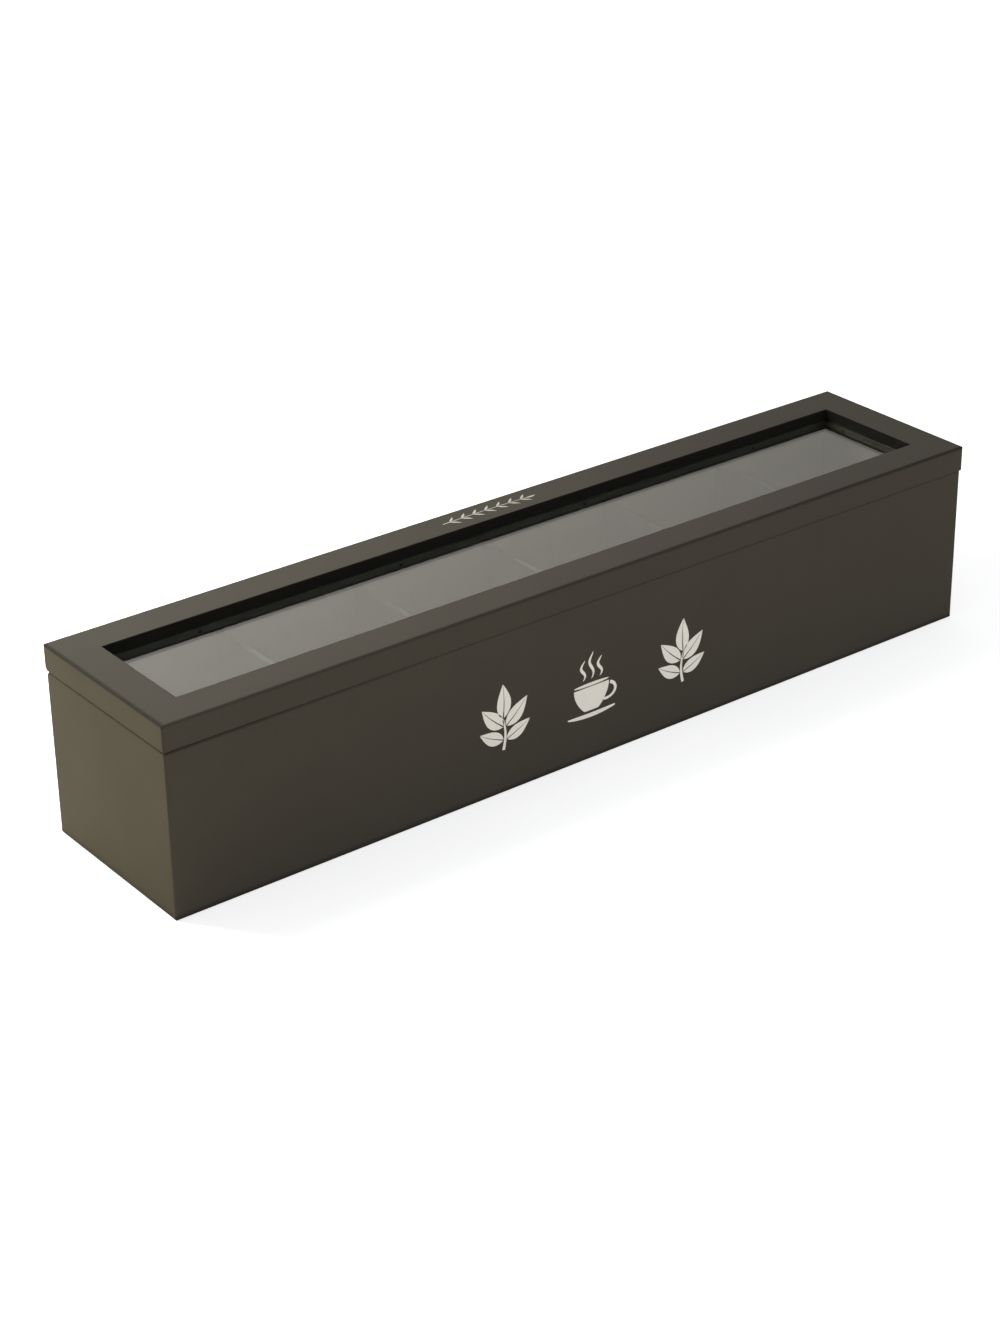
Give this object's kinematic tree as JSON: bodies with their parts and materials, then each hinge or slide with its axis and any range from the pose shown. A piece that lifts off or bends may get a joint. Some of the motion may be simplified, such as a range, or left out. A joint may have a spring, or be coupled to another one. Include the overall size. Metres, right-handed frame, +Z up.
{
  "type": "tea bag organizer box",
  "caption": "Long painted box with a row of compartments for tea bags under a hinged lid whose mitred frame holds a glass pane.",
  "frame": {"origin": "on the underside of the box, at the middle of the closed box's length and depth", "axes": "+X along the length, to the right seen from the front; +Y from the front to the hinged back; +Z up"},
  "size_m": [0.43, 0.09, 0.087],
  "materials": {
    "painted_board": "satin dark taupe-brown paint on fibreboard",
    "painted_inner": "thinner coat of the same paint inside the box",
    "clear_glass": "clear float glass",
    "plated_steel": "brass-plated steel hinges, screws and pins"
  },
  "bodies": {
    "box": {"front_panel": "painted_board", "back_panel": "painted_board", "left_end_panel": "painted_board", "right_end_panel": "painted_board", "bottom_panel": "painted_inner", "divider_1": "painted_inner", "divider_2": "painted_inner", "divider_3": "painted_inner", "divider_4": "painted_inner", "divider_5": "painted_inner", "left_hinge_box_leaf": "plated_steel", "left_hinge_pin": "plated_steel", "right_hinge_box_leaf": "plated_steel", "right_hinge_pin": "plated_steel", "box_hinge_screws": "plated_steel"},
    "lid": {"lid_front_rail": "painted_board", "lid_back_rail": "painted_board", "lid_left_rail": "painted_board", "lid_right_rail": "painted_board", "lid_glass": "clear_glass", "front_bead": "painted_board", "back_bead": "painted_board", "left_bead": "painted_board", "right_bead": "painted_board", "bead_pins": "plated_steel", "left_hinge_lid_leaf": "plated_steel", "right_hinge_lid_leaf": "plated_steel", "lid_hinge_screws": "plated_steel"}
  },
  "joints": [
    {"name": "lid_hinge", "type": "hinge", "parent": "box", "child": "lid", "pos_m": [0, 0.04285, 0.075], "axis": [-1, 0, 0], "range_deg": [0, 100]}
  ]
}
